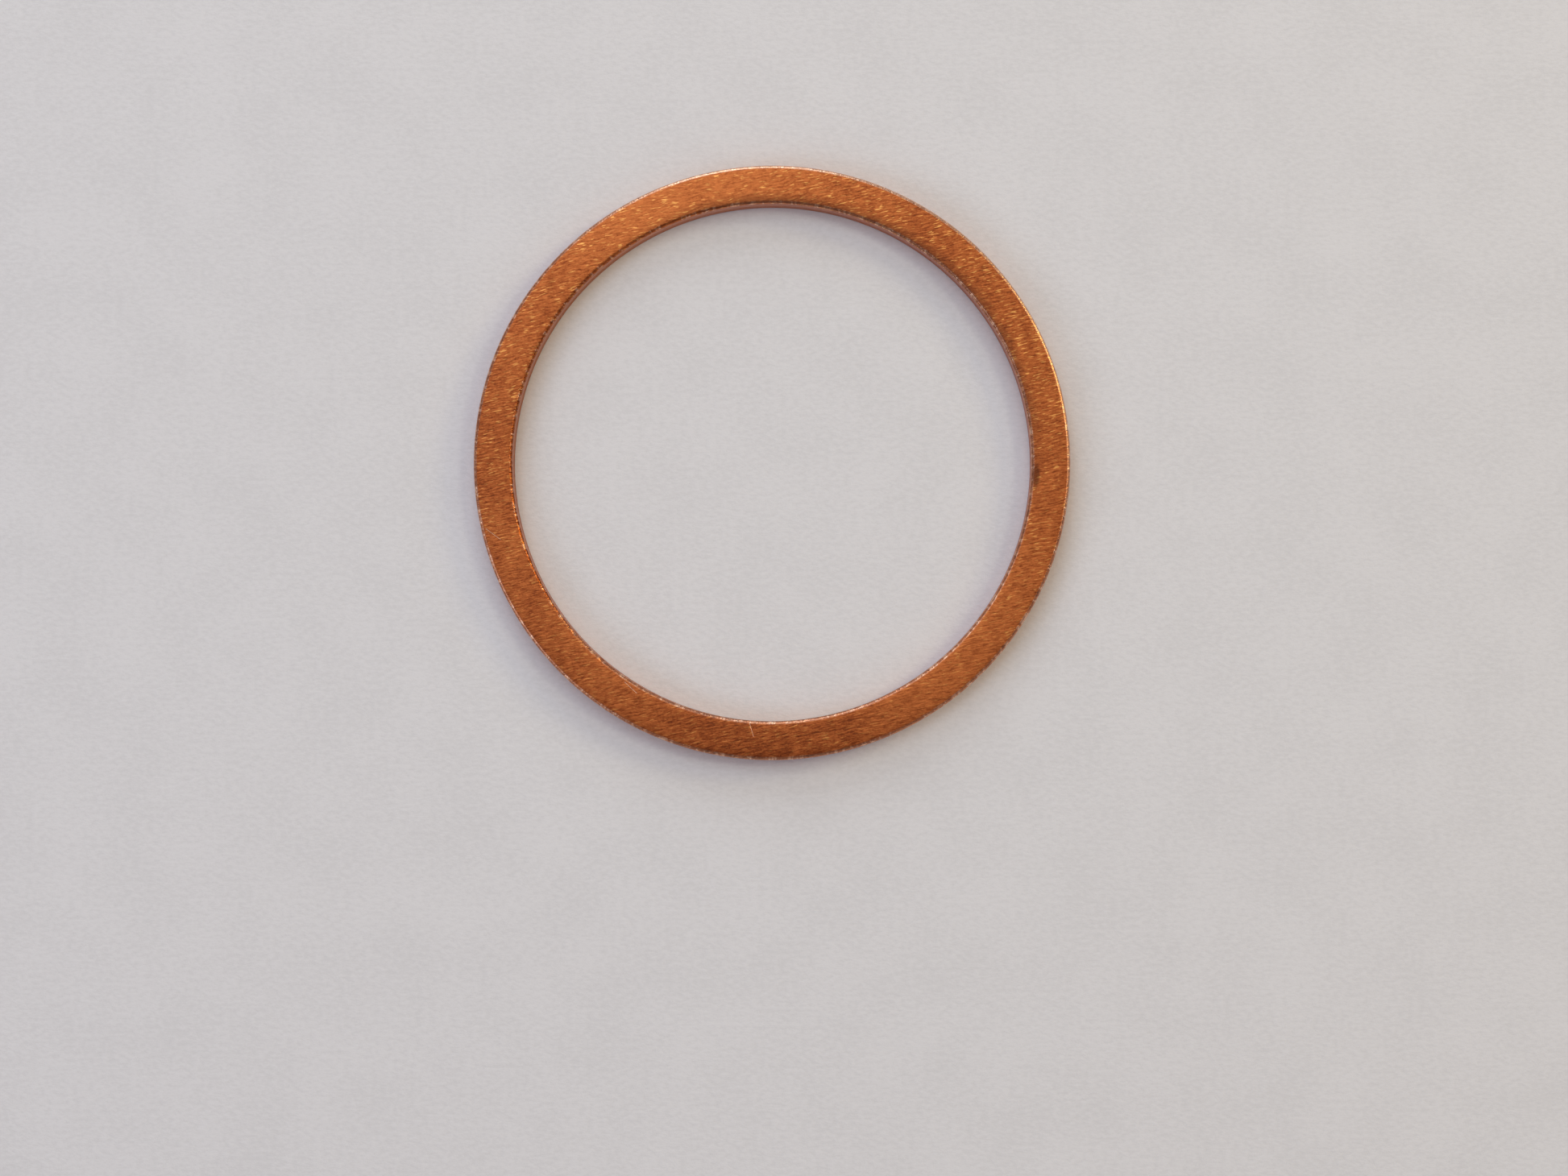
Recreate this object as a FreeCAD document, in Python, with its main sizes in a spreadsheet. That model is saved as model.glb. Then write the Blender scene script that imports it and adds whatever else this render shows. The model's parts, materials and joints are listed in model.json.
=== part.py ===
import FreeCAD, Part
import math
import os

import Sketcher

# Flat copper sealing ring for a 38 mm thread. It is stamped in one piece from sheet:
# a disc is blanked, the bore is pierced, and the edges are left slightly rounded.
# Origin: centre of the lower face. +Z points up, out of the upper face.

DRIVING_SIZES_MM = {
    "outside_diameter": 43.9,
    "bore_diameter": 38.15,
    "thickness": 2.0,
    "upper_edge_radius": 0.30,
    "lower_edge_radius": 0.10,
}
SHEET_NAME = "Sizes"
VOLUME_TOLERANCE_MM3 = 1e-6
HEIGHT_TOLERANCE_MM = 1e-6


def make_sheet(doc, sizes):
    """A spreadsheet with one named row for each driving size."""
    sheet = doc.addObject("Spreadsheet::Sheet", SHEET_NAME)
    for row, (alias, value) in enumerate(sizes.items(), start=1):
        sheet.set(f"A{row}", alias)
        sheet.set(f"B{row}", str(value))
        sheet.setAlias(f"B{row}", alias)
    doc.recompute()
    return sheet


def origin_plane(body, role):
    """The body's own origin plane with this role."""
    return next(plane for plane in body.Origin.OriginFeatures if plane.Role == role)


def circle_sketch(body, name, sheet, alias):
    """A circle about the origin on the body's XY plane, its diameter bound to the sheet."""
    sketch = body.newObject("Sketcher::SketchObject", name)
    sketch.AttachmentSupport = [(origin_plane(body, "XY_Plane"), "")]
    sketch.MapMode = "FlatFace"
    radius = float(sheet.get(alias)) / 2
    circle = sketch.addGeometry(Part.Circle(FreeCAD.Vector(0, 0, 0), FreeCAD.Vector(0, 0, 1), radius))
    centre_point, sketch_origin, origin_point = 3, -1, 1
    sketch.addConstraint(
        Sketcher.Constraint("Coincident", circle, centre_point, sketch_origin, origin_point)
    )
    diameter = sketch.addConstraint(Sketcher.Constraint("Diameter", circle, 2 * radius))
    sketch.renameConstraint(diameter, alias)
    sketch.setExpression(f"Constraints.{alias}", f"{SHEET_NAME}.{alias}")
    return sketch


def circular_edges_at(shape, height):
    """Names of the edges that lie wholly at this height."""
    return [
        f"Edge{number}"
        for number, edge in enumerate(shape.Edges, start=1)
        if abs(edge.BoundBox.ZMin - height) < HEIGHT_TOLERANCE_MM
        and abs(edge.BoundBox.ZMax - height) < HEIGHT_TOLERANCE_MM
    ]


def round_edges(doc, body, name, base, height, alias):
    """Rounds the outside and bore edges at one height by the radius in the sheet."""
    rounding = body.newObject("PartDesign::Fillet", name)
    rounding.Base = (base, circular_edges_at(base.Shape, height))
    rounding.setExpression("Radius", f"{SHEET_NAME}.{alias}")
    doc.recompute()
    return rounding


def make_sealing_ring(doc, sheet):
    """The ring: blank, pierced bore, then the roundings of the upper and lower edges."""
    body = doc.addObject("PartDesign::Body", "SealingRing")
    body.Label = "sealing_ring"

    blank = body.newObject("PartDesign::Pad", "Blank")
    blank.Profile = circle_sketch(body, "BlankOutline", sheet, "outside_diameter")
    blank.setExpression("Length", f"{SHEET_NAME}.thickness")
    doc.recompute()
    blank_volume = blank.Shape.Volume

    bore = body.newObject("PartDesign::Pocket", "Bore")
    bore.Profile = circle_sketch(body, "BoreOutline", sheet, "bore_diameter")
    bore.Type = "ThroughAll"
    bore.Reversed = True
    doc.recompute()
    bore_radius = sheet.bore_diameter / 2
    pierced_volume = math.pi * bore_radius**2 * sheet.thickness
    if abs(blank_volume - bore.Shape.Volume - pierced_volume) > VOLUME_TOLERANCE_MM3:
        raise RuntimeError("the bore did not remove its full volume")

    upper = round_edges(doc, body, "UpperEdges", bore, sheet.thickness, "upper_edge_radius")
    lower = round_edges(doc, body, "LowerEdges", upper, 0.0, "lower_edge_radius")
    if not lower.Shape.Volume < upper.Shape.Volume < bore.Shape.Volume:
        raise RuntimeError("an edge was not rounded")
    body.Tip = lower
    doc.recompute()
    return body


def check_document(doc, bodies):
    """Raises if any object failed, or a sub-part has no valid single solid."""
    for thing in doc.Objects:
        if "Invalid" in thing.State or "Error" in thing.State:
            raise RuntimeError(f"{thing.Name} did not recompute: {thing.State}")
    for body in bodies:
        if body.Shape.isNull() or not body.Shape.isValid() or len(body.Shape.Solids) != 1:
            raise RuntimeError(f"{body.Label} is not one valid solid")


def export(bodies):
    """Writes each sub-part to its own file, named by its label."""
    os.makedirs("parts", exist_ok=True)
    for body in bodies:
        body.Shape.exportStep(f"parts/{body.Label}.step")


def main():
    doc = FreeCAD.newDocument("SealingRing")
    sheet = make_sheet(doc, DRIVING_SIZES_MM)
    bodies = [make_sealing_ring(doc, sheet)]
    check_document(doc, bodies)
    export(bodies)
    for body in bodies:
        box = body.Shape.optimalBoundingBox()
        print(
            f"{body.Label}: {box.XLength:.3f} x {box.YLength:.3f} x {box.ZLength:.3f} mm,",
            f"{body.Shape.Volume:.3f} mm3",
        )


main()
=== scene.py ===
"""A stamped copper sealing ring on a plain pale surface."""

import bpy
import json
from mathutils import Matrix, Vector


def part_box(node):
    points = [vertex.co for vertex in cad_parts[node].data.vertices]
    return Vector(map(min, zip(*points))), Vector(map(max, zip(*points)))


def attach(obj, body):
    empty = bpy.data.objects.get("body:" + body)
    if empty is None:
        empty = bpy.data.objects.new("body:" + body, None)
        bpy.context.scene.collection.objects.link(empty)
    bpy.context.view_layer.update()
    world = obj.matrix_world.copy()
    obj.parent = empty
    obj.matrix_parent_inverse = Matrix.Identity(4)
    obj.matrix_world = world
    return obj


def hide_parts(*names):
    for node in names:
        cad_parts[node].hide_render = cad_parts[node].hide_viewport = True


bl_info = {
    "name": "Copper sealing ring",
    "version": (1, 0, 0),
    "blender": (4, 5, 0),
    "location": "3D View > Sidebar > Sealing ring",
    "description": "Makes a stamped copper sealing ring, and a plain stage to look at it on",
    "category": "Object",
}

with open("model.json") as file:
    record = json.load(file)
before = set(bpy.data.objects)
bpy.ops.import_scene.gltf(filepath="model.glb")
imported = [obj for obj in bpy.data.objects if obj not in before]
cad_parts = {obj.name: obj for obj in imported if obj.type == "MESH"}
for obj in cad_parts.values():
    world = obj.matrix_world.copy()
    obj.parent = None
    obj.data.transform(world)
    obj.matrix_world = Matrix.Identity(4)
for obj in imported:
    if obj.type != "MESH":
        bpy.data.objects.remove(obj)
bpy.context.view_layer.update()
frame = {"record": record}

import json
import math
from functools import reduce
from types import SimpleNamespace

import bpy
import numpy as np
from bpy.props import FloatProperty, FloatVectorProperty, IntProperty, PointerProperty
from mathutils import Matrix, Vector

MM = 0.001
LOWEST, HIGHEST = (np.array(corner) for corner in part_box("sealing_ring"))
BORE = next(mount for mount in frame["record"]["mounts"] if mount["name"] == "bore")
BORE_RADIUS = BORE["dims"]["r_mm"] * MM
# The frame's rim is faceted, so its four reaches differ a little; the finished rim keeps to the shortest.
RIM_RADIUS = float(min(HIGHEST[0], HIGHEST[1], -LOWEST[0], -LOWEST[1]))
THICKNESS = float(HIGHEST[2] - LOWEST[2])


# ---------------------------------------------------------------- settings


class RingShape(bpy.types.PropertyGroup):
    """The ring's own sizes."""

    rim_radius: FloatProperty(
        name="Rim radius", description="Radius of the outside", default=RIM_RADIUS, unit="LENGTH"
    )
    bore_radius: FloatProperty(
        name="Bore radius", description="Radius of the hole", default=BORE_RADIUS, unit="LENGTH"
    )
    thickness: FloatProperty(
        name="Thickness", description="Height of the ring", default=THICKNESS, unit="LENGTH"
    )
    die_roll: FloatProperty(
        name="Die roll",
        description="Radius that stamping leaves on the upper edges",
        default=0.27 * MM,
        unit="LENGTH",
    )
    lower_break: FloatProperty(
        name="Lower break", description="Radius of the lower edges", default=0.10 * MM, unit="LENGTH"
    )
    shoulder: FloatProperty(
        name="Shoulder",
        description="Width of the soft fall of the upper face beside each edge",
        default=0.62 * MM,
        unit="LENGTH",
    )
    shoulder_drop: FloatProperty(
        name="Shoulder drop",
        description="How far the upper face falls across a shoulder",
        default=0.020 * MM,
        unit="LENGTH",
    )
    steps_around: IntProperty(
        name="Steps around", description="Faces around the ring", default=1152, min=64
    )


class CopperFinish(bpy.types.PropertyGroup):
    """The colours and gloss of the copper."""

    clean: FloatVectorProperty(
        name="Clean copper",
        description="Colour of the freshly rubbed metal",
        subtype="COLOR",
        default=(0.545, 0.160, 0.047),
        min=0.0,
        max=1.0,
    )
    dull: FloatVectorProperty(
        name="Dull copper",
        description="Colour of the lightly oxidised metal",
        subtype="COLOR",
        default=(0.255, 0.057, 0.017),
        min=0.0,
        max=1.0,
    )
    stain: FloatVectorProperty(
        name="Stain",
        description="Colour of the brown stains",
        subtype="COLOR",
        default=(0.075, 0.024, 0.014),
        min=0.0,
        max=1.0,
    )
    # Painted glints: the colour of painted highlights, short bright strokes between the streaks.
    painted_glint: FloatVectorProperty(
        name="Glints",
        description="Colour of the short bright strokes between the streaks",
        subtype="COLOR",
        default=(0.90, 0.44, 0.125),
        min=0.0,
        max=1.0,
    )
    wall: FloatVectorProperty(
        name="Walls",
        description="Colour of the cut walls, which are never rubbed clean",
        subtype="COLOR",
        default=(0.66, 0.24, 0.12),
        min=0.0,
        max=1.0,
    )
    # Also painted on the rim's edge on one side as a highlight.
    bright: FloatVectorProperty(
        name="Rubbed edge",
        description="Colour of the metal where an edge or a scratch is rubbed bright",
        subtype="COLOR",
        default=(0.93, 0.60, 0.42),
        min=0.0,
        max=1.0,
    )
    roughness: FloatProperty(
        name="Roughness",
        description="Roughness of the rolled face between its streaks",
        subtype="FACTOR",
        default=0.36,
        min=0.0,
        max=1.0,
    )
    rolling_direction: FloatProperty(
        name="Rolling direction",
        description="Direction of the rolling streaks in the upper face",
        subtype="ANGLE",
        default=math.radians(12.0),
    )


class StageLook(bpy.types.PropertyGroup):
    """The surface under the ring, the lights and the camera."""

    floor: FloatVectorProperty(
        name="Surface",
        description="Colour of the surface under the ring",
        subtype="COLOR",
        default=(0.80, 0.82, 0.87),
        min=0.0,
        max=1.0,
    )
    window_power: FloatProperty(
        name="Window", description="Power of the broad light from above", default=0.58, unit="POWER"
    )
    sky_power: FloatProperty(
        name="Sky", description="Power of the cool light from the upper left", default=0.47, unit="POWER"
    )
    lamp_power: FloatProperty(
        name="Lamp", description="Power of the small warm light from the right", default=0.37, unit="POWER"
    )
    low_window_power: FloatProperty(
        name="Low window",
        description="Power of the low light that shows the edges",
        default=0.98,
        unit="POWER",
    )
    low_lamp_power: FloatProperty(
        name="Low lamp", description="Power of the low warm light from the right", default=0.68, unit="POWER"
    )
    reflector_power: FloatProperty(
        name="Reflector", description="Power of the cool light from the left", default=0.60, unit="POWER"
    )
    fill: FloatProperty(
        name="Fill", description="Strength of the light from all round", default=0.33, min=0.0
    )
    lens: FloatProperty(
        name="Lens", description="Focal length of the camera, in millimetres", default=69.7
    )


# ------------------------------------------------------------- shader maths


class Value:
    """A socket of a node tree that takes part in Python expressions."""

    def __init__(self, tree, socket):
        self.tree = tree
        self.socket = socket

    def maths(self, operation, *others, clamp=False):
        node = self.tree.add("ShaderNodeMath", {"operation": operation, "use_clamp": clamp}, {})
        for number, item in enumerate((self, *others)):
            self.tree.feed(node.inputs[number], item)
        return Value(self.tree, node.outputs[0])

    def __add__(self, other):
        return self.maths("ADD", other)

    __radd__ = __add__

    def __sub__(self, other):
        return self.maths("SUBTRACT", other)

    def __rsub__(self, other):
        return self * -1.0 + other

    def __mul__(self, other):
        return self.maths("MULTIPLY", other)

    def __truediv__(self, other):
        return self.maths("DIVIDE", other)

    def __pow__(self, other):
        return self.maths("POWER", other)

    def clamped(self):
        return self.maths("ADD", 0.0, clamp=True)

    def size(self):
        return self.maths("ABSOLUTE")

    def smallest(self, other):
        return self.maths("MINIMUM", other)

    def largest(self, other):
        return self.maths("MAXIMUM", other)

    def step(self, start, end):
        """0 below start, 1 above end, and smooth between; start may be the larger."""
        node = self.tree.add(
            "ShaderNodeMapRange",
            {"interpolation_type": "SMOOTHSTEP"},
            {"Value": self, "From Min": start, "From Max": end},
        )
        return Value(self.tree, node.outputs["Result"])


class Tree:
    """A material's nodes, made one at a time."""

    def __init__(self, material):
        material.use_nodes = True
        self.nodes = material.node_tree.nodes
        self.links = material.node_tree.links
        self.nodes.clear()

    def feed(self, socket, item):
        if isinstance(item, Value):
            self.links.new(item.socket, socket)
        else:
            socket.default_value = item

    def add(self, kind, settings, inputs):
        node = self.nodes.new(kind)
        for name, setting in settings.items():
            setattr(node, name, setting)
        for name, item in inputs.items():
            self.feed(node.inputs[name], item)
        return node

    def vector(self, x, y, z):
        node = self.add("ShaderNodeCombineXYZ", {}, {"X": x, "Y": y, "Z": z})
        return Value(self, node.outputs[0])

    def noise(self, place, scale, detail, roughness):
        """Smooth noise from 0 to 1, about 0.5."""
        node = self.add(
            "ShaderNodeTexNoise",
            {"noise_dimensions": "3D"},
            {"Vector": place, "Scale": scale, "Detail": detail, "Roughness": roughness},
        )
        return Value(self, node.outputs["Fac"])

    def mix(self, factor, first, second):
        """The first colour where factor is 0, and the second where it is 1."""
        node = self.add("ShaderNodeMix", {"data_type": "RGBA"}, {})
        self.feed(node.inputs["Factor"], factor)
        colours = [s for s in node.inputs if s.type == "RGBA"]
        for socket, colour in zip(colours, (first, second)):
            self.feed(socket, colour if isinstance(colour, Value) else (*colour, 1.0))
        result = next(s for s in node.outputs if s.type == "RGBA")
        return Value(self, result)

    def object_place(self):
        """X, Y and Z of the point in millimetres, in the ring's own frame."""
        coordinates = self.add("ShaderNodeTexCoord", {}, {})
        parts = self.add("ShaderNodeSeparateXYZ", {}, {})
        self.links.new(coordinates.outputs["Object"], parts.inputs[0])
        return [Value(self, parts.outputs[axis]) * (1 / MM) for axis in "XYZ"]

    def finish(self, sockets, height, depth):
        """A Principled shader with these sockets, and a bump whose height of 1 is this depth in
        millimetres."""
        shader = self.add("ShaderNodeBsdfPrincipled", {}, sockets)
        bump = self.add("ShaderNodeBump", {}, {"Height": height, "Distance": depth * MM, "Strength": 1.0})
        self.links.new(bump.outputs[0], shader.inputs["Normal"])
        output = self.add("ShaderNodeOutputMaterial", {}, {})
        self.links.new(shader.outputs[0], output.inputs["Surface"])


# ------------------------------------------------------------ ring's shape

# Small dents knocked into the edges: angle round the ring in degrees, whether it is in the bore's edge
# or the rim's, half length along the edge in millimetres, and depth in millimetres.
EDGE_DENTS = (
    (229.6, "bore", 0.24, 0.050),
    (221.1, "bore", 0.20, 0.040),
)
# Height of the border between the smooth and the torn part of a wall, and the height over which it fades,
# both as a share of the thickness.
TORN_BORDER = 0.52
BORDER_WIDTH = 0.08
# How far the torn part stands back and how much that varies, in millimetres.
TEAR_DEPTH = 0.020
TEAR_SPREAD = 0.009
# About how far the edges waver into the metal, and the upper face dips, in millimetres.
EDGE_WAVER = 0.006
FACE_DIP = 0.003


def ripple(angle, across, seed, waves, reach=3.0):
    """Smooth random waves from about -1 to 1, the same at both ends of a turn: a sum of sines, each with a
    whole number of waves up to this many round the ring, and up to this many radians across it."""
    draw = np.random.default_rng(seed)
    terms = 14
    around = draw.integers(1, waves + 1, terms)
    over = draw.uniform(-reach, reach, terms)
    phase = draw.uniform(0, 2 * np.pi, terms)
    total = sum(np.sin(a * angle + o * across + p) for a, o, p in zip(around, over, phase))
    return total / math.sqrt(terms)


def section(shape):
    """The ring's section as a closed loop, counted from the bore's lower edge outwards along the lower face,
    up the rim, in along the upper face and down the bore. Corners are arcs and flats are straight. Beside
    each upper corner the face falls by the shoulder's drop times the square of the way across the shoulder,
    and the corner's arc starts at the slope that this leaves, so there is no crease. Gives radius, height,
    distance across the band from 0 to 1, and which length each point is in."""
    inner, outer, top = shape.bore_radius, shape.rim_radius, shape.thickness
    low, roll = shape.lower_break, shape.die_roll
    slope = math.atan(2 * shape.shoulder_drop / shape.shoulder)
    lean = math.degrees(slope)
    centre_z = top - shape.shoulder_drop - roll * math.cos(slope)
    reach = roll * (1 - math.sin(slope))

    def arc(centre_r, centre_z, radius, start, end, count):
        turn = np.radians(np.linspace(start, end, count, endpoint=False))
        return centre_r + radius * np.cos(turn), centre_z + radius * np.sin(turn)

    def straight(r0, z0, r1, z1, count):
        along = np.linspace(0, 1, count, endpoint=False)
        return r0 + (r1 - r0) * along, z0 + (z1 - z0) * along

    pieces = [
        ("under", straight(inner + low, 0, outer - low, 0, 8)),
        ("rim_low", arc(outer - low, low, low, -90, 0, 4)),
        ("rim_wall", straight(outer, low, outer, centre_z, 8)),
        ("rim_roll", arc(outer - roll, centre_z, roll, 0, 90 - lean, 10)),
        ("face", straight(outer - reach, top, inner + reach, top, 26)),
        ("bore_roll", arc(inner + roll, centre_z, roll, 90 + lean, 180, 10)),
        ("bore_wall", straight(inner, centre_z, inner, low, 8)),
        ("bore_low", arc(inner + low, low, low, 180, 270, 4)),
    ]
    radius = np.concatenate([points[0] for _, points in pieces])
    height = np.concatenate([points[1] for _, points in pieces])
    place = np.concatenate([np.full(len(points[0]), name) for name, points in pieces])
    across = (radius - inner) / (outer - inner)
    on_face = place == "face"
    from_corner = np.minimum(outer - reach - radius, radius - inner - reach)
    over = np.clip(1 - from_corner / shape.shoulder, 0, 1)
    height = np.where(on_face, height - shape.shoulder_drop * over**2, height)
    return radius, height, across, place


def ring_surface(shape):
    """The section carried round the axis: x = r cos a, y = r sin a, on a grid of angle by section point. The
    walls' lower, torn part stands back from the smooth upper part by a few hundredths of a millimetre with a
    rough surface, the edges waver by a hundredth, and each dent presses its edge in by its depth times a
    bell curve along the edge."""
    radius, height, across, place = section(shape)
    angle = np.arange(shape.steps_around) * (2 * np.pi / shape.steps_around)
    turn, r = np.meshgrid(angle, radius, indexing="ij")
    z = np.broadcast_to(height, r.shape).copy()
    over = np.broadcast_to(across, r.shape)
    where = np.broadcast_to(place, r.shape)
    rise = z / shape.thickness

    on_rim = np.isin(where, ["rim_wall", "rim_roll", "rim_low"])
    on_bore = np.isin(where, ["bore_wall", "bore_roll", "bore_low"])
    inwards = np.where(on_rim, -1.0, np.where(on_bore, 1.0, 0.0))

    # the torn part of the wall, below a border that wanders
    border = TORN_BORDER + 0.05 * ripple(turn, 0 * over, 11, 60)
    torn = np.clip((border - rise) / BORDER_WIDTH, 0, 1) * np.isin(where, ["rim_wall", "bore_wall"])
    tearing = TEAR_DEPTH + TEAR_SPREAD * ripple(turn, rise * 6, 12, 420, 5.0)
    r = r + inwards * torn * np.maximum(tearing, 0) * MM

    # the edges waver, always away from the tight outline so that the ring keeps inside its sizes
    waver = EDGE_WAVER * (1 + ripple(turn, 0 * over, 13, 9) / 2.5)
    r = r + inwards * np.clip(waver, 0, None) * MM
    on_top = np.isin(where, ["face", "rim_roll", "bore_roll"])
    dip = FACE_DIP * (1 + ripple(turn, over * 3, 14, 26) / 2.5)
    z = z - on_top * np.clip(dip, 0, None) * MM

    for degrees, edge, half_length, depth in EDGE_DENTS:
        edge_radius = shape.bore_radius if edge == "bore" else shape.rim_radius
        away = np.angle(np.exp(1j * (turn - math.radians(degrees)))) * edge_radius / MM
        bell = np.exp(-((away / half_length) ** 2))
        upper = where == f"{edge}_roll"
        r = r + inwards * upper * bell * depth * 0.6 * MM
        z = z - upper * bell * depth * MM
    return np.stack([r * np.cos(turn), r * np.sin(turn), z], axis=-1)


def grid_mesh(name, points):
    """A mesh from a grid of points that closes on itself both ways, with faces pointing outwards."""
    around, along = points.shape[:2]
    i, j = np.meshgrid(np.arange(around), np.arange(along), indexing="ij")
    next_i, next_j = (i + 1) % around, (j + 1) % along
    corners = [i * along + j, next_i * along + j, next_i * along + next_j, i * along + next_j]
    faces = np.stack(corners, axis=-1).reshape(-1, 4)
    mesh = bpy.data.meshes.new(name)
    mesh.from_pydata(points.reshape(-1, 3), [], faces)
    mesh.polygons.foreach_set("use_smooth", np.ones(len(faces), dtype=bool))
    mesh.update()
    return mesh


# ------------------------------------------------------------ ring's copper

# Scratches in the upper face: from and to, each as an angle in degrees and a distance across the band
# from 0 at the bore to 1 at the rim, then half the scratch's width in millimetres.
SCRATCHES = (
    ((265.2, 0.06), (266.3, 0.40), 0.040),
    ((236.5, 0.13), (239.9, 0.21), 0.045),
    ((193.3, 0.86), (196.1, 0.57), 0.036),
)
# Brown stains: angle in degrees, distance across the band, half length and half width in millimetres.
STAINS = (
    (356.8, 0.13, 1.15, 0.34),
)

# Middle of the painted shade beside the bore, a stain-coloured darkening, in degrees.
PAINTED_BORE_SHADE_SIDE = 57.0
# Where the rim's edge gets the most rubbed-bright colour as a painted highlight, where the bore's edge gets
# the least as painted shade, and where the painted glints are strongest, in degrees.
PAINTED_RIM_HIGHLIGHT_SIDE = 62.0
PAINTED_BORE_EDGE_SHADE_SIDE = 158.0
PAINTED_GLINT_SIDE = 80.0
# Depths below the top, in millimetres, between which the finish of the face comes in.
FACE_FADE = (0.16, 0.07)
# Painted light and shade: lighter and darker lengths of the face, made as cleaner or duller metal on the
# sides where light or shade falls: angle in degrees, half length in degrees, and strength, which is positive
# where the metal is made cleaner and so painted lighter.
PAINTED_FACE_LIGHT = (
    (315.0, 34.0, 0.06),
    (270.0, 26.0, -0.08),
    (45.0, 30.0, -0.03),
    (108.0, 34.0, 0.10),
    (180.0, 22.0, -0.04),
)


def facing(x, y, radius, degrees):
    """1 on the side of the ring at this angle, falling to -1 on the side across from it."""
    turn = math.radians(degrees)
    return (x * math.cos(turn) + y * math.sin(turn)) / radius


def band_point(degrees, across, shape):
    """X and Y in millimetres of a point given by its angle and its distance across the band."""
    radius = shape.bore_radius + across * (shape.rim_radius - shape.bore_radius)
    turn = math.radians(degrees)
    return radius * math.cos(turn) / MM, radius * math.sin(turn) / MM


def near_line(x, y, start, end, half_width):
    """1 on the line from start to end, falling to 0 at half_width from it."""
    length = math.hypot(end[0] - start[0], end[1] - start[1])
    along_x, along_y = (end[0] - start[0]) / length, (end[1] - start[1]) / length
    from_x, from_y = x - start[0], y - start[1]
    along = from_x * along_x + from_y * along_y
    aside = (from_x * along_y - from_y * along_x).size()
    past = (along - length / 2).size() - length / 2
    return aside.largest(past).step(half_width, half_width * 0.25)


def near_spot(x, y, degrees, across, half_length, half_width, shape):
    """1 in the middle of an oval whose length lies along the ring, falling to 0 at its edge."""
    middle_x, middle_y = band_point(degrees, across, shape)
    turn = math.radians(degrees)
    out_x, out_y = math.cos(turn), math.sin(turn)
    from_x, from_y = x - middle_x, y - middle_y
    outwards = (from_x * out_x + from_y * out_y) / half_width
    along = (from_y * out_x - from_x * out_y) / half_length
    return (outwards * outwards + along * along).step(1.0, 0.15)


def strongest(masks):
    """The largest of several masks at each point."""
    return reduce(Value.largest, masks)


def rolled_texture(tree, x, y, z, radius, direction):
    """The noises that the copper is made from. Streaks are noise drawn out along the rolling direction, and
    bent a little so that none is ruled. Drag marks run up and down the walls."""
    here = tree.vector(x, y, z)
    bend = tree.noise(here, 0.45, 2.0, 0.5)
    along = x * math.cos(direction) + y * math.sin(direction)
    aside = y * math.cos(direction) - x * math.sin(direction) + (bend - 0.5) * 0.35
    strokes = tree.noise(tree.vector(along * 1.5 + 40.0, aside * 9.5, z), 1.0, 1.0, 0.5)
    patch = tree.noise(tree.vector(x + 31.0, y, z), 0.75, 4.0, 0.65)
    return SimpleNamespace(
        fine=tree.noise(tree.vector(along * 1.4, aside * 8.0, z), 1.0, 3.0, 0.65),
        medium=tree.noise(tree.vector(along * 0.55, aside * 2.4, z + 7.0), 1.0, 4.0, 0.65),
        # painted glints: bright strokes that the colour paints in as highlights
        painted_glint=strokes.step(0.58, 0.68) * patch.step(0.34, 0.60),
        patch=patch,
        cloud=tree.noise(here, 0.20, 4.0, 0.6),
        grain=tree.noise(here, 5.5, 3.0, 0.65),
        drag=tree.noise(tree.vector(x / radius * 50.0, y / radius * 50.0, z * 0.35), 1.0, 3.0, 0.6),
        pits=tree.noise(here, 6.5, 4.0, 0.7),
    )


def ring_zones(z, radius, shape, texture):
    """How far each point belongs to the face, the top, the rolled upper edges, the walls and their torn part,
    and how near it is to the rim's edge and to the bore's, all from 0 to 1. Also gives its distance from the
    bore in millimetres."""
    top, roll = shape.thickness / MM, shape.die_roll / MM
    to_rim = shape.rim_radius / MM - radius
    to_bore = radius - shape.bore_radius / MM
    near_edge = to_rim.smallest(to_bore).step(roll * 1.05, roll * 0.55)
    wall = z.step(top - roll * 0.9, top - roll * 1.4) * z.step(0.02, 0.10)
    torn_from, torn_to = TORN_BORDER + BORDER_WIDTH / 2, TORN_BORDER - BORDER_WIDTH / 2
    return SimpleNamespace(
        face=z.step(*(top - depth for depth in FACE_FADE)),
        top=z.step(top - roll, top - roll * 0.7),
        edge=near_edge * z.step(top - roll * 1.2, top - roll * 0.5),
        rim_edge=to_rim.step(roll * 1.3, roll),
        bore_edge=to_bore.step(roll * 1.3, roll),
        wall=wall,
        torn=wall * (z + (texture.drag - 0.5) * 0.5).step(top * torn_from, top * torn_to),
        to_bore=to_bore,
    )


def face_marks(x, y, radius, shape, texture, zone):
    """Scratches, brown stains and specks, and a painted shade: a stain-coloured darkening that lies along one
    side of the bore and fades outwards."""
    lines = (
        near_line(x, y, band_point(*start, shape), band_point(*end, shape), half_width)
        for start, end, half_width in SCRATCHES
    )
    spots = strongest(near_spot(x, y, *stain, shape) for stain in STAINS)
    broken = (texture.patch * 0.6 + texture.grain * 0.4).step(0.26, 0.50)
    specks = texture.grain.step(0.66, 0.74) * texture.cloud.step(0.46, 0.60)
    # painted shade beside the bore on one side
    painted_shade_side = facing(x, y, radius, PAINTED_BORE_SHADE_SIDE).step(0.35, 0.80)
    painted_shade_fade = (zone.to_bore + (texture.patch - 0.5) * 0.9).step(1.10, 0.20)
    return SimpleNamespace(
        scratched=strongest(lines) * zone.face,
        stained=(spots * broken * 0.60).largest(specks * 0.40),
        painted_bore_shade=painted_shade_fade * painted_shade_side * zone.face,
    )


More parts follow.
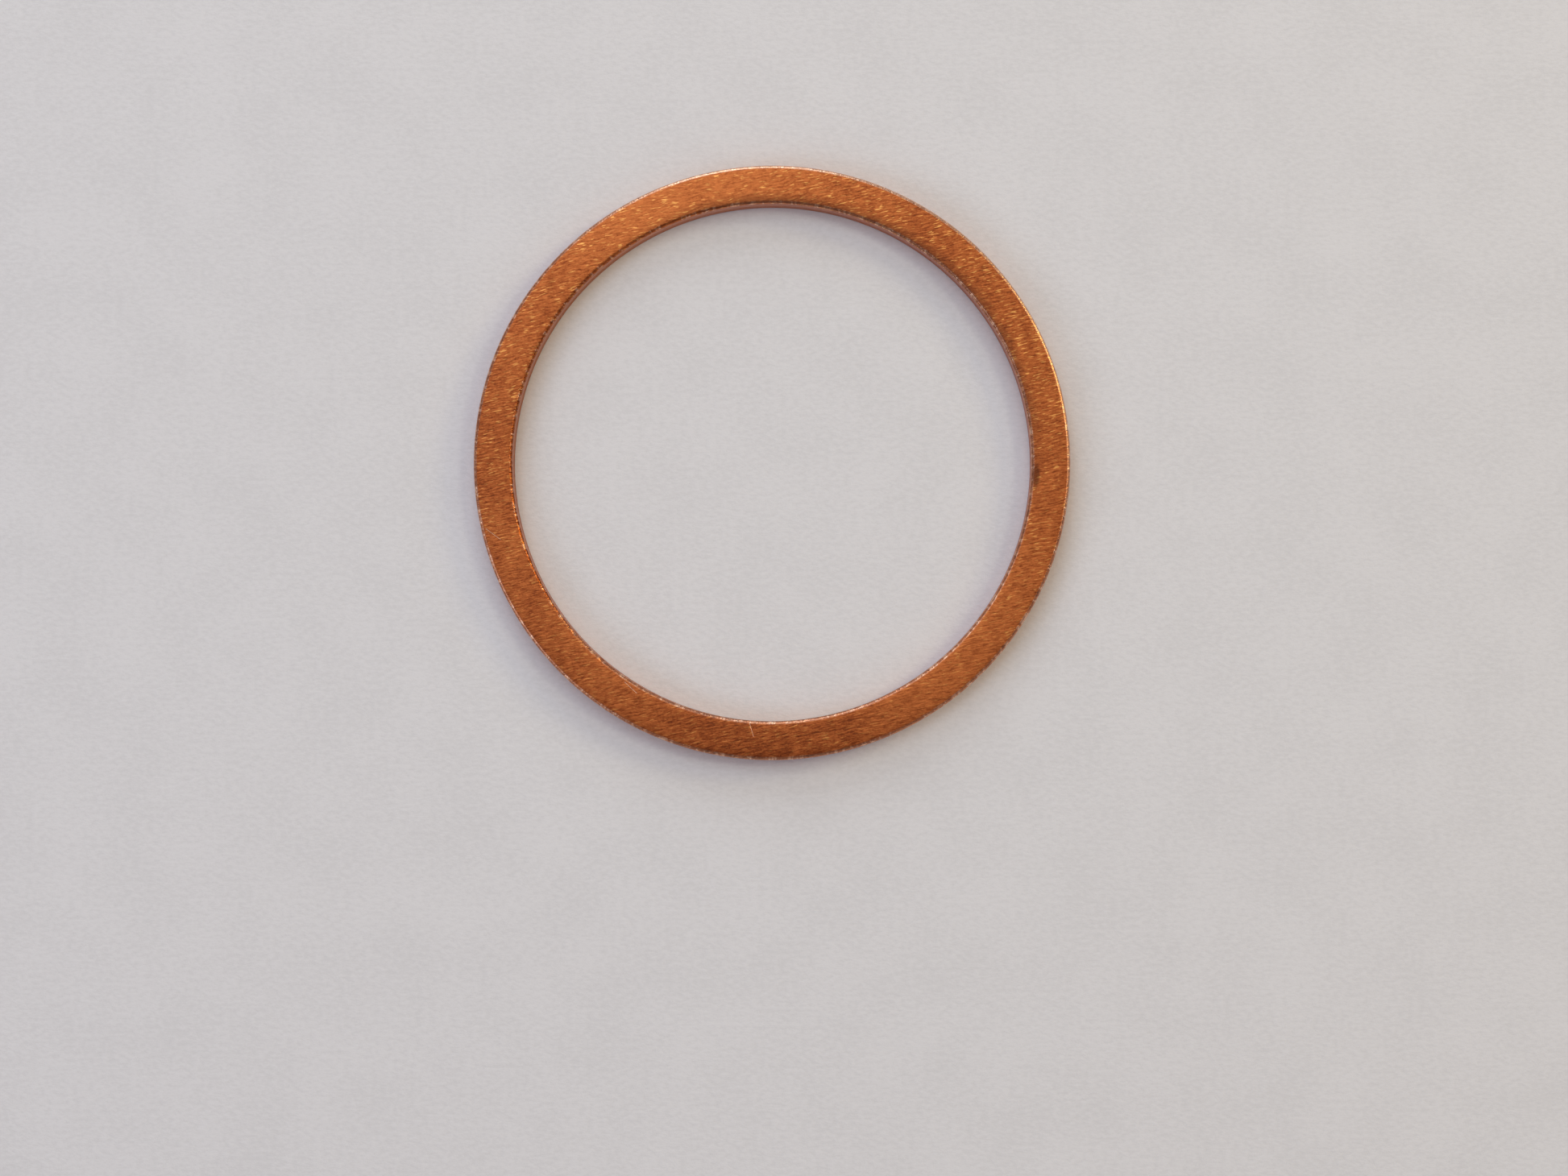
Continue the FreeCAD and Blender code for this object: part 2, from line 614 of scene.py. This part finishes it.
def cleanness_and_painted_light(x, y, radius, texture):
    """How clean the metal is: streaks, grain and patches together, plus painted light and shade: a broad
    lighter or darker cloud at each listed place round the face where light or shade falls. At 0.80 and below
    it is fully dull, and at 1.25 and above clean."""
    tone = texture.fine * 0.92 + texture.medium * 0.25 + texture.grain * 0.38
    tone = tone + texture.patch * 0.25 + texture.cloud * 0.20
    # painted light and shade: the face is made cleaner or duller where light or shade falls
    for degrees, half_length, strength in PAINTED_FACE_LIGHT:
        side = facing(x, y, radius, degrees)
        tone = tone + side.step(math.cos(math.radians(half_length)), 1.0) * strength
    return tone


def copper(shape, finish):
    """Rolled and stamped copper: streaks along the rolling direction, broad cloudy dulling, painted light and
    shade on some sides of the face, painted glints (painted highlights) that are strongest on one side, brown
    stains, a painted shade beside the bore on one side, scratches, edges rubbed bright but not evenly, with a
    painted highlight on the rim's edge on one side and painted shade on the bore's edge on another, and walls
    that are smooth above and torn below."""
    material = bpy.data.materials.new("copper")
    tree = Tree(material)
    x, y, z = tree.object_place()
    radius = (x * x + y * y) ** 0.5
    texture = rolled_texture(tree, x, y, z, radius, finish.rolling_direction)
    zone = ring_zones(z, radius, shape, texture)
    mark = face_marks(x, y, radius, shape, texture, zone)
    # clean holds random tone and painted light and shade together
    clean = cleanness_and_painted_light(x, y, radius, texture)

    # wear is uneven, and painted light is added to it: a painted highlight on the rim's edge on one side, and
    # painted shade on the bore's edge on another
    worn = (texture.drag * 0.6 + texture.grain * 0.4).step(0.50, 0.60)
    # painted highlight: the rim's edge is given more rubbed-bright colour on one side
    rubbed = facing(x, y, radius, PAINTED_RIM_HIGHLIGHT_SIDE).step(0.10, 0.90) * zone.rim_edge
    # painted shade: the bore's edge is given less rubbed-bright colour on another side
    painted_bore_edge_shade = facing(x, y, radius, PAINTED_BORE_EDGE_SHADE_SIDE).step(0.30, 0.90) * zone.bore_edge
    wear_and_painted_edge_light = (worn * 0.62 + rubbed * 0.45 - painted_bore_edge_shade * 0.38 + 0.22).clamped()
    # painted glint side: the glints are painted stronger on one side of the ring
    painted_glint_side = facing(x, y, radius, PAINTED_GLINT_SIDE).step(-1.0, 0.70)

    # each layer covers the ones before it by its strength
    layers = (
        # dull, stained patches, also darker where painted shade lowers the cleanness
        (clean.step(0.92, 0.76) * zone.face * 0.45, finish.stain),
        # painted glints: bright strokes painted into the colour as highlights, stronger on one side
        (texture.painted_glint * zone.top * (painted_glint_side * 0.36 + 0.30), finish.painted_glint),
        (zone.wall * 0.80, finish.wall),
        (zone.torn * 0.15, finish.stain),
        # rubbed-bright edges: real wear, with painted highlight and shade by side
        (zone.edge * wear_and_painted_edge_light, finish.bright),
        # painted shade beside the bore, in the stain's colour
        (mark.painted_bore_shade * 0.46, finish.stain),
        (mark.scratched * 0.42, finish.bright),
        (mark.stained, finish.stain),
    )
    colour = tree.mix(clean.step(1.25, 0.80), finish.clean, finish.dull)
    for strength, cover in layers:
        colour = tree.mix(strength, colour, cover)

    rough = finish.roughness + (texture.medium - 0.5) * 0.25 + (texture.patch - 0.5) * 0.20
    rough = rough - texture.painted_glint * 0.08 - zone.edge * (0.10 + worn * 0.08)
    rough = rough + zone.torn * 0.10 + mark.stained * 0.20 - mark.scratched * 0.08

    streaks = (texture.fine - 0.5) * 0.8 + (texture.medium - 0.5) * 0.4 + (texture.grain - 0.5) * 0.5
    height = streaks * zone.face - mark.scratched
    height = height + (texture.drag - 0.5) * zone.wall * 1.2 + (texture.pits - 0.5) * zone.torn * 3.0
    height = height + ((texture.grain - 0.5) * 1.6 + (texture.drag - 0.5) * 1.2) * zone.edge
    sockets = {"Base Color": colour, "Metallic": 1.0, "Roughness": rough.clamped()}
    tree.finish(sockets, height, depth=0.016)
    return material


def paper(look):
    """Plain pale uncoated paper with a faint fibrous grain."""
    material = bpy.data.materials.new("pale surface")
    tree = Tree(material)
    x, y, z = tree.object_place()
    fibre = tree.noise(tree.vector(x, y * 1.7, z), 1.9, 4.0, 0.65)
    cloud = tree.noise(tree.vector(x, y, z), 0.20, 3.0, 0.5)
    darker = tuple(channel * 0.93 for channel in look.floor)
    colour = tree.mix((fibre * 0.7 + cloud * 0.3).step(0.62, 0.34), look.floor, darker)
    tree.finish({"Base Color": colour, "Roughness": 0.9}, fibre, depth=0.03)
    return material


# --------------------------------------------------------------- operators


class MakeSealingRing(bpy.types.Operator):
    """Makes the stamped copper ring in place of its plain frame part"""

    bl_idname = "sealing_ring.make_ring"
    bl_label = "Make the ring"

    def execute(self, context):
        scene = context.scene
        mesh = grid_mesh("stamped_ring", ring_surface(scene.ring_shape))
        mesh.materials.append(copper(scene.ring_shape, scene.copper_finish))
        ring = bpy.data.objects.new("stamped_ring", mesh)
        scene.collection.objects.link(ring)
        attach(ring, "root")
        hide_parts("sealing_ring")
        return {"FINISHED"}


# Half the floor's width, the gap between it and the ring, and the distance of every light, in metres.
FLOOR_HALF_WIDTH = 1.5
FLOOR_DROP = 0.02 * MM
LIGHT_DISTANCE = 0.65
# Each light's name, setting, direction round from +X and height above the surface in degrees, width in
# metres, and colour.
LIGHTS = (
    ("window", "window_power", 92.0, 72.0, 0.42, (0.91, 1.0, 0.90)),
    ("sky", "sky_power", 130.0, 60.0, 0.44, (0.71, 0.76, 1.0)),
    ("lamp", "lamp_power", 15.0, 55.0, 0.12, (1.0, 0.90, 0.60)),
    ("low window", "low_window_power", 98.0, 26.0, 0.32, (0.92, 0.97, 1.0)),
    ("low lamp", "low_lamp_power", 27.0, 31.0, 0.18, (1.0, 0.72, 0.22)),
    ("reflector", "reflector_power", 205.0, 38.0, 0.30, (0.78, 0.84, 1.0)),
)
# Colour of the light from all round.
FILL_COLOUR = (0.93, 0.785, 0.76)
# Where the camera stands and looks, and the nearest thing it can see, in metres.
CAMERA_PLACE = (0.0055, -0.0200, 0.2242)
CAMERA_AIM = (0.00089, -0.00923, 0.0)
CAMERA_CLIP = 0.01


def area_light(scene, name, around, above, size, colour, power):
    """A square light in this direction that shines on the middle of the ring."""
    flat = math.cos(math.radians(above))
    turn = math.radians(around)
    place = Vector((flat * math.cos(turn), flat * math.sin(turn), math.sin(math.radians(above))))
    place *= LIGHT_DISTANCE
    data = bpy.data.lights.new(name, "AREA")
    data.size = size
    data.color = colour
    data.energy = power
    light = bpy.data.objects.new(name, data)
    light.location = place
    light.rotation_euler = place.to_track_quat("Z", "Y").to_euler()
    scene.collection.objects.link(light)


def upright_turn(place, aim):
    """The turn of a camera at place that looks at aim, with +Y up in its picture."""
    back = (place - aim).normalized()
    right = Vector((0, 1, 0)).cross(back).normalized()
    return Matrix((right, back.cross(right), back)).transposed()


def make_floor(scene, look):
    """A flat square of paper just under the ring."""
    half, low = FLOOR_HALF_WIDTH, LOWEST[2] - FLOOR_DROP
    corners = [(-half, -half, low), (half, -half, low), (half, half, low), (-half, half, low)]
    mesh = bpy.data.meshes.new("floor")
    mesh.from_pydata(corners, [], [(0, 1, 2, 3)])
    mesh.materials.append(paper(look))
    floor = bpy.data.objects.new("floor", mesh)
    scene.collection.objects.link(floor)


def make_fill(scene, look):
    """Even light from all round."""
    world = bpy.data.worlds.new("fill")
    world.use_nodes = True
    background = world.node_tree.nodes["Background"]
    background.inputs["Color"].default_value = (*FILL_COLOUR, 1.0)
    background.inputs["Strength"].default_value = look.fill
    scene.world = world


def make_camera(scene, look):
    """The camera, above the ring and looking down at it."""
    data = bpy.data.cameras.new("camera")
    data.lens = look.lens
    data.clip_start = CAMERA_CLIP
    camera = bpy.data.objects.new("camera", data)
    camera.location = CAMERA_PLACE
    camera.rotation_euler = upright_turn(Vector(CAMERA_PLACE), Vector(CAMERA_AIM)).to_euler()
    scene.collection.objects.link(camera)
    scene.camera = camera


class MakeStage(bpy.types.Operator):
    """Makes the plain surface, the lights and the camera"""

    bl_idname = "sealing_ring.make_stage"
    bl_label = "Make the stage"

    def execute(self, context):
        scene = context.scene
        look = scene.stage_look
        make_floor(scene, look)
        for name, power, around, above, size, colour in LIGHTS:
            area_light(scene, name, around, above, size, colour, getattr(look, power))
        make_fill(scene, look)
        scene.view_settings.view_transform = "Standard"
        make_camera(scene, look)
        return {"FINISHED"}


class SealingRingPanel(bpy.types.Panel):
    """The ring's settings and the buttons that make it"""

    bl_idname = "VIEW3D_PT_sealing_ring"
    bl_label = "Sealing ring"
    bl_space_type = "VIEW_3D"
    bl_region_type = "UI"
    bl_category = "Sealing ring"

    def draw(self, context):
        for group in (context.scene.ring_shape, context.scene.copper_finish, context.scene.stage_look):
            for name in group.__annotations__:
                self.layout.prop(group, name)
        for operator in (MakeSealingRing, MakeStage):
            self.layout.operator(operator.bl_idname)


CLASSES = (RingShape, CopperFinish, StageLook, MakeSealingRing, MakeStage, SealingRingPanel)
SETTINGS = {"ring_shape": RingShape, "copper_finish": CopperFinish, "stage_look": StageLook}


def register():
    for item in CLASSES:
        bpy.utils.register_class(item)
    for name, group in SETTINGS.items():
        setattr(bpy.types.Scene, name, PointerProperty(type=group))


def unregister():
    for name in SETTINGS:
        delattr(bpy.types.Scene, name)
    for item in reversed(CLASSES):
        bpy.utils.unregister_class(item)


def main():
    register()
    bpy.ops.sealing_ring.make_ring()
    bpy.ops.sealing_ring.make_stage()


if __name__ == "__main__":
    main()
